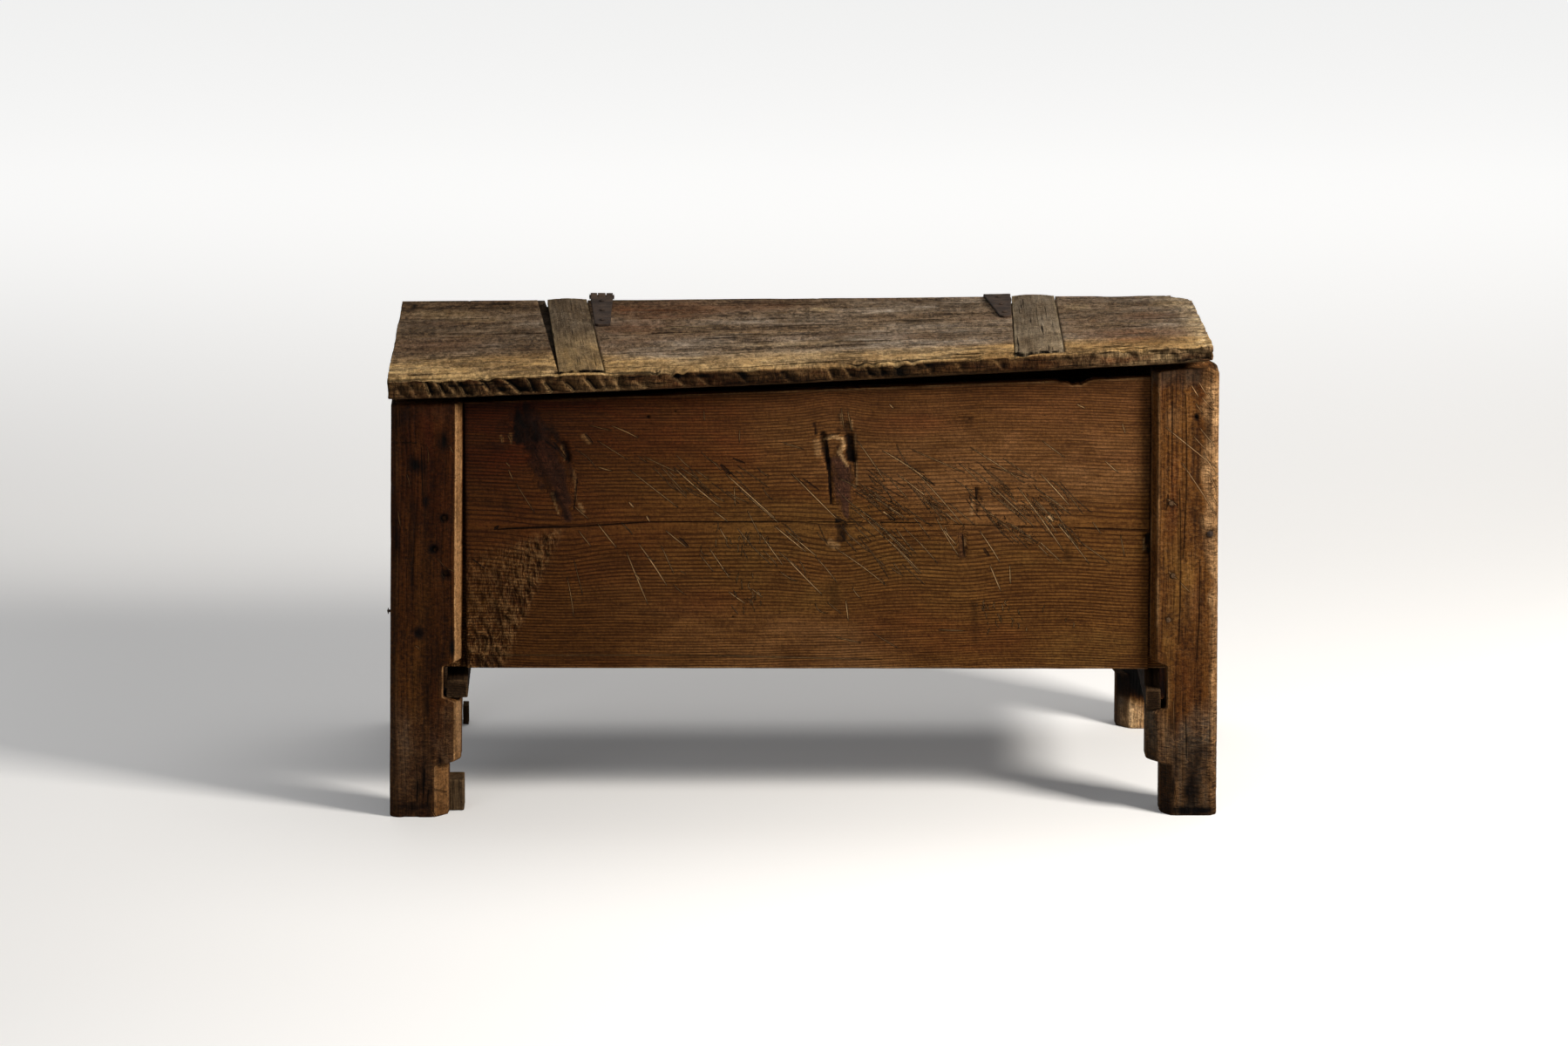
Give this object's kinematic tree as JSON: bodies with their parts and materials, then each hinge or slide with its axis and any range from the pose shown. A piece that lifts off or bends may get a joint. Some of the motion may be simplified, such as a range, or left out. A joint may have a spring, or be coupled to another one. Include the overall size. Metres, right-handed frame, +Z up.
{
  "type": "blanket chest",
  "caption": "Plank storage chest on corner posts that run down as feet, with a hinged, warped plank lid held by battens and forged strap hinges.",
  "frame": {"origin": "centre of the footprint of the chest's outer box, on the floor", "axes": "+X to the viewer's right along the chest, +Y from the front to the hinged back, +Z up"},
  "size_m": [1.1374, 0.5426, 0.668],
  "materials": {
    "post_wood": "aged and worn",
    "panel_wood": "aged, waxed and scratched",
    "lid_wood": "dry and weathered",
    "batten_wood": "dry and weathered",
    "floor_wood": "rough sawn",
    "bearer_wood": "rough sawn",
    "block_wood": "dry and pale",
    "peg_wood": "dark and worn",
    "forged_iron": "forged and rusted"
  },
  "bodies": {
    "chest": {"post_front_left": "post_wood", "post_front_right": "post_wood", "post_back_left": "post_wood", "post_back_right": "post_wood", "front_panel": "panel_wood", "back_panel": "panel_wood", "end_panel_left": "panel_wood", "end_panel_right": "panel_wood", "floor_board_1": "floor_wood", "floor_board_2": "floor_wood", "floor_board_3": "floor_wood", "floor_bearer_left": "bearer_wood", "floor_bearer_right": "bearer_wood", "foot_block_front": "block_wood", "foot_block_back": "block_wood", "back_leaf_left": "forged_iron", "back_leaf_right": "forged_iron", "hinge_pin_left": "forged_iron", "hinge_pin_right": "forged_iron", "leaf_nail_left_1": "forged_iron", "leaf_nail_left_2": "forged_iron", "leaf_nail_left_3": "forged_iron", "leaf_nail_right_1": "forged_iron", "leaf_nail_right_2": "forged_iron", "leaf_nail_right_3": "forged_iron", "side_nail": "forged_iron", "face_nail": "forged_iron", "peg_front_left_1": "peg_wood", "peg_front_left_2": "peg_wood", "peg_front_left_3": "peg_wood", "peg_front_right_1": "peg_wood", "peg_front_right_2": "peg_wood", "peg_front_right_3": "peg_wood", "peg_plug_1": "peg_wood", "peg_back_left_1": "peg_wood", "peg_back_left_2": "peg_wood", "peg_back_left_3": "peg_wood", "peg_back_right_1": "peg_wood", "peg_back_right_2": "peg_wood", "peg_back_right_3": "peg_wood"},
    "lid": {"lid_board_front": "lid_wood", "lid_board_back": "lid_wood", "lid_batten_left": "batten_wood", "lid_batten_right": "batten_wood", "lid_strap_left": "forged_iron", "lid_strap_right": "forged_iron", "strap_nail_left_1": "forged_iron", "strap_nail_left_2": "forged_iron", "strap_nail_left_3": "forged_iron", "strap_nail_right_1": "forged_iron", "strap_nail_right_2": "forged_iron", "strap_nail_right_3": "forged_iron"}
  },
  "joints": [
    {"name": "lid_hinge", "type": "hinge", "parent": "chest", "child": "lid", "pos_m": [0.00175, 0.26515, 0.61721], "axis": [-1, 0, 0.0097], "range_deg": [0, 105]}
  ]
}
